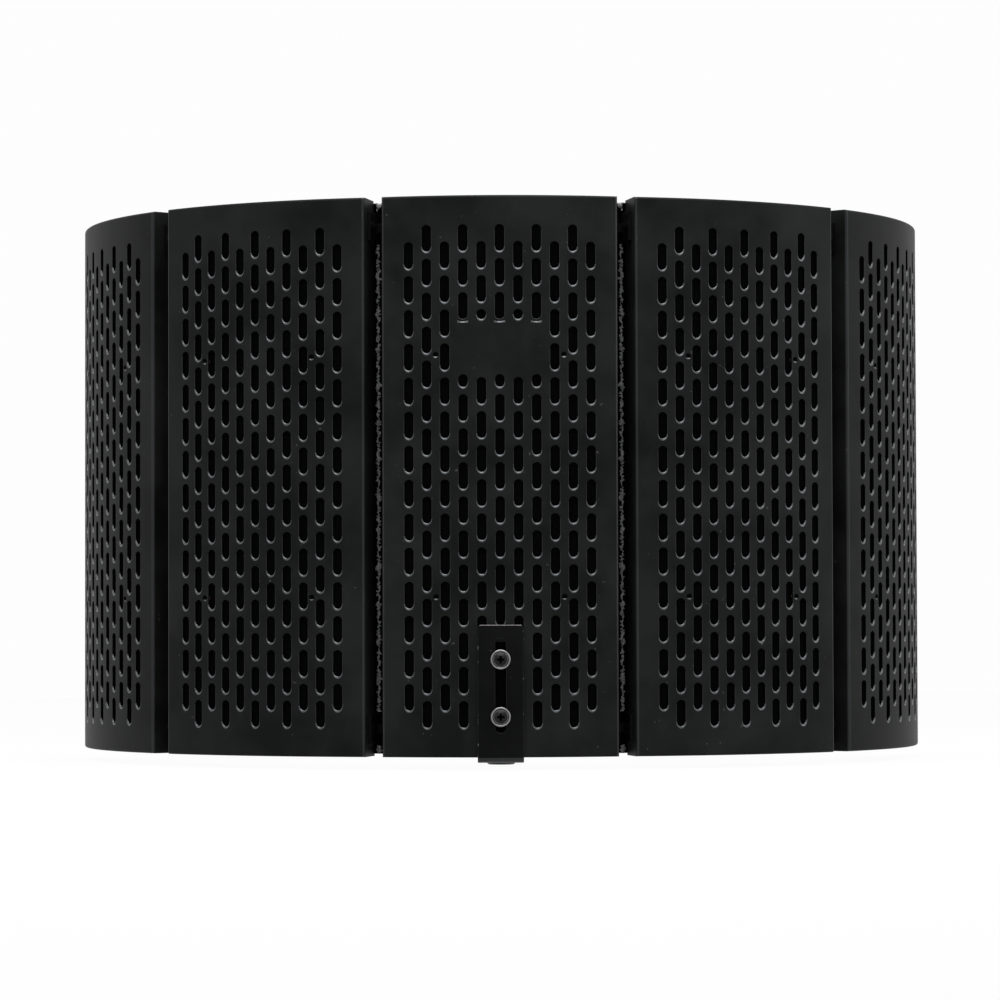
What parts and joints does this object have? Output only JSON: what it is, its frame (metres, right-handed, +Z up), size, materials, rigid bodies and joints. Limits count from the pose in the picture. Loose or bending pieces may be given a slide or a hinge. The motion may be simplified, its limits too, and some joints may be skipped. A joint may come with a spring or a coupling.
{
  "type": "microphone isolation shield",
  "caption": "Folding microphone isolation shield of curved, slotted steel panels lined with pyramid foam, hinged side by side, on an L bracket with a microphone stand thread.",
  "frame": {"origin": "centre of the stand thread's mouth, at the lower end of the thread post under the bracket", "axes": "+Z up along the stand thread, -Y towards the outer, convex side of the centre panel (the side seen in the picture), +X to the right seen from that side"},
  "size_m": [0.4916, 0.213, 0.3118],
  "materials": {
    "panel_coat": "fine-textured satin black powder coat",
    "bracket_coat": "satin black powder coat with small chips at its edges",
    "acoustic_foam": "open-cell charcoal polyurethane foam, cut into pyramids",
    "coppered_studs": "copper-flashed weld studs",
    "black_rivets": "black oxide steel rivets",
    "hinge_leaves": "satin black steel",
    "hinge_pins": "black oxide steel, worn at the heads",
    "black_steel": "black oxide machined steel with thread",
    "bright_steel": "nickel-plated steel",
    "zinc_steel": "zinc-plated weld nuts"
  },
  "bodies": {
    "stand_bracket": {"mounting_bracket": "bracket_coat", "thread_post": "black_steel", "post_nut": "black_steel"},
    "center_panel": {"center_panel": "panel_coat", "center_foam": "acoustic_foam", "center_foam_studs": "coppered_studs", "center_rivets": "black_rivets", "bracket_screws": "black_steel", "bracket_washers": "bright_steel", "bracket_nuts": "zinc_steel", "left_inner_lower_hinge_forked_leaf": "hinge_leaves", "left_inner_lower_hinge_pin": "hinge_pins", "left_inner_upper_hinge_forked_leaf": "hinge_leaves", "left_inner_upper_hinge_pin": "hinge_pins", "right_inner_lower_hinge_forked_leaf": "hinge_leaves", "right_inner_lower_hinge_pin": "hinge_pins", "right_inner_upper_hinge_forked_leaf": "hinge_leaves", "right_inner_upper_hinge_pin": "hinge_pins"},
    "left_inner_wing": {"left_inner_panel": "panel_coat", "left_inner_foam": "acoustic_foam", "left_inner_foam_studs": "coppered_studs", "left_inner_rivets": "black_rivets", "left_inner_lower_hinge_single_leaf": "hinge_leaves", "left_outer_lower_hinge_forked_leaf": "hinge_leaves", "left_outer_lower_hinge_pin": "hinge_pins", "left_inner_upper_hinge_single_leaf": "hinge_leaves", "left_outer_upper_hinge_forked_leaf": "hinge_leaves", "left_outer_upper_hinge_pin": "hinge_pins"},
    "left_outer_wing": {"left_outer_panel": "panel_coat", "left_outer_foam": "acoustic_foam", "left_outer_foam_studs": "coppered_studs", "left_outer_rivets": "black_rivets", "left_outer_lower_hinge_single_leaf": "hinge_leaves", "left_outer_upper_hinge_single_leaf": "hinge_leaves"},
    "right_inner_wing": {"right_inner_panel": "panel_coat", "right_inner_foam": "acoustic_foam", "right_inner_foam_studs": "coppered_studs", "right_inner_rivets": "black_rivets", "right_inner_lower_hinge_single_leaf": "hinge_leaves", "right_outer_lower_hinge_forked_leaf": "hinge_leaves", "right_outer_lower_hinge_pin": "hinge_pins", "right_inner_upper_hinge_single_leaf": "hinge_leaves", "right_outer_upper_hinge_forked_leaf": "hinge_leaves", "right_outer_upper_hinge_pin": "hinge_pins"},
    "right_outer_wing": {"right_outer_panel": "panel_coat", "right_outer_foam": "acoustic_foam", "right_outer_foam_studs": "coppered_studs", "right_outer_rivets": "black_rivets", "right_outer_lower_hinge_single_leaf": "hinge_leaves", "right_outer_upper_hinge_single_leaf": "hinge_leaves"}
  },
  "joints": [
    {"name": "panel_lift", "type": "slide", "parent": "stand_bracket", "child": "center_panel", "axis": [0, 0, 1], "range_m": [0, 0.009]},
    {"name": "left_inner_fold", "type": "hinge", "parent": "center_panel", "child": "left_inner_wing", "pos_m": [-0.0628, -0.05459, 0.1593], "axis": [0, 0, -1], "range_deg": [-18, 40]},
    {"name": "left_outer_fold", "type": "hinge", "parent": "left_inner_wing", "child": "left_outer_wing", "pos_m": [-0.17248, 0.00663, 0.1593], "axis": [0, 0, -1], "range_deg": [-27, 32]},
    {"name": "right_inner_fold", "type": "hinge", "parent": "center_panel", "child": "right_inner_wing", "pos_m": [0.0628, -0.05459, 0.1593], "axis": [0, 0, 1], "range_deg": [-18, 40]},
    {"name": "right_outer_fold", "type": "hinge", "parent": "right_inner_wing", "child": "right_outer_wing", "pos_m": [0.17248, 0.00663, 0.1593], "axis": [0, 0, 1], "range_deg": [-27, 32]}
  ]
}
